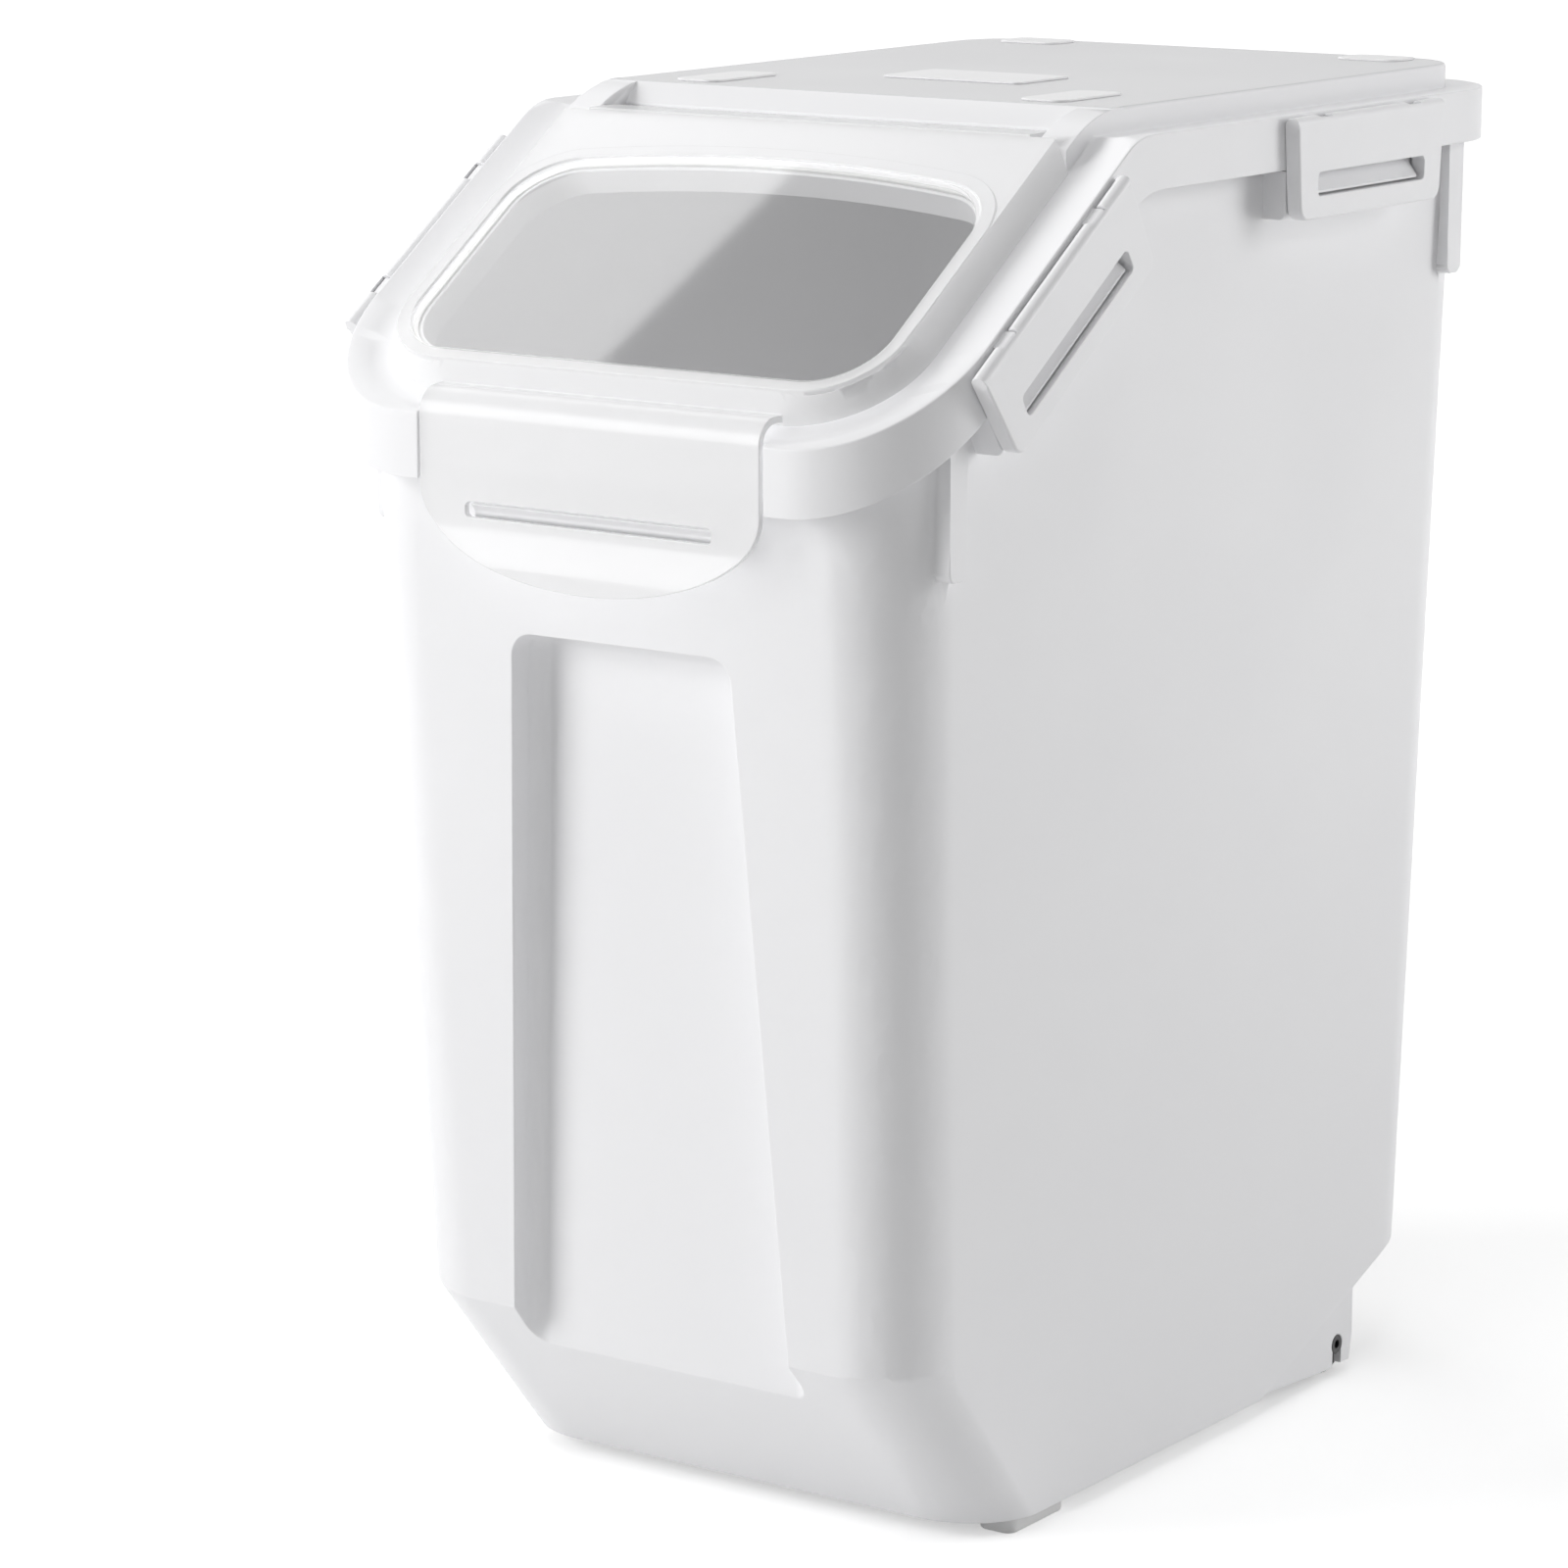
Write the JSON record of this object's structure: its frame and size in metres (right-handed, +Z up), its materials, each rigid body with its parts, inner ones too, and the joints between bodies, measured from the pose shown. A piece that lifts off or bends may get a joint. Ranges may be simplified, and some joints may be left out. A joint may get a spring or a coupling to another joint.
{
  "type": "food storage bin",
  "caption": "Tall tapered food bin with a latched main lid, a clear flip lid over a sloped scooping mouth, a finger recess in front and small wheels under the heel.",
  "frame": {"origin": "on the floor, under the middle of the bin's bounding box", "axes": "+Z up, -Y towards the front with the sloped mouth, +X to the right as seen from the front"},
  "size_m": [0.251, 0.3894, 0.4658],
  "materials": {
    "white_plastic": "satin",
    "clear_plastic": "clear",
    "silicone": "matte",
    "black_plastic": "satin",
    "steel": "drawn wire",
    "pad": "matte",
    "plate": "bare",
    "rubber": "matte"
  },
  "bodies": {
    "bin": {"bin_body": "white_plastic", "lid_frame": "white_plastic", "lid_gasket": "silicone", "flip_gasket": "silicone", "flip_hinge_pin_left": "steel", "flip_hinge_pin_right": "steel", "rear_latch_pin_left": "steel", "rear_latch_pin_right": "steel", "slope_latch_pin_left": "steel", "slope_latch_pin_right": "steel", "top_pads": "pad", "label_plate": "plate", "front_foot_left": "rubber", "front_foot_right": "rubber"},
    "flip_lid": {"flip_lid": "clear_plastic"},
    "rear_latch_left": {"rear_latch_left": "white_plastic"},
    "slope_latch_left": {"slope_latch_left": "white_plastic"},
    "wheel_left": {"wheel_left": "black_plastic"},
    "rear_latch_right": {"rear_latch_right": "white_plastic"},
    "slope_latch_right": {"slope_latch_right": "white_plastic"},
    "wheel_right": {"wheel_right": "black_plastic"}
  },
  "joints": [
    {"name": "flip_lid_hinge", "type": "hinge", "parent": "bin", "child": "flip_lid", "pos_m": [0, -0.062, 0.4523], "axis": [-1, 0, 0], "range_deg": [0, 100]},
    {"name": "rear_latch_left_hinge", "type": "hinge", "parent": "bin", "child": "rear_latch_left", "pos_m": [-0.1229, 0.0782, 0.4548], "axis": [0, 1, 0], "range_deg": [0, 90]},
    {"name": "slope_latch_left_hinge", "type": "hinge", "parent": "bin", "child": "slope_latch_left", "pos_m": [-0.1229, -0.1161, 0.41761], "axis": [0, 0.832, 0.5548], "range_deg": [0, 90]},
    {"name": "wheel_left_spin", "type": "hinge", "parent": "bin", "child": "wheel_left", "pos_m": [-0.088, 0.1182, 0.0113], "axis": [1, 0, 0], "continuous": true},
    {"name": "rear_latch_right_hinge", "type": "hinge", "parent": "bin", "child": "rear_latch_right", "pos_m": [0.1229, 0.0782, 0.4548], "axis": [0, -1, 0], "range_deg": [0, 90]},
    {"name": "slope_latch_right_hinge", "type": "hinge", "parent": "bin", "child": "slope_latch_right", "pos_m": [0.1229, -0.1161, 0.41761], "axis": [0, -0.832, -0.5548], "range_deg": [0, 90]},
    {"name": "wheel_right_spin", "type": "hinge", "parent": "bin", "child": "wheel_right", "pos_m": [0.088, 0.1182, 0.0113], "axis": [1, 0, 0], "continuous": true}
  ]
}
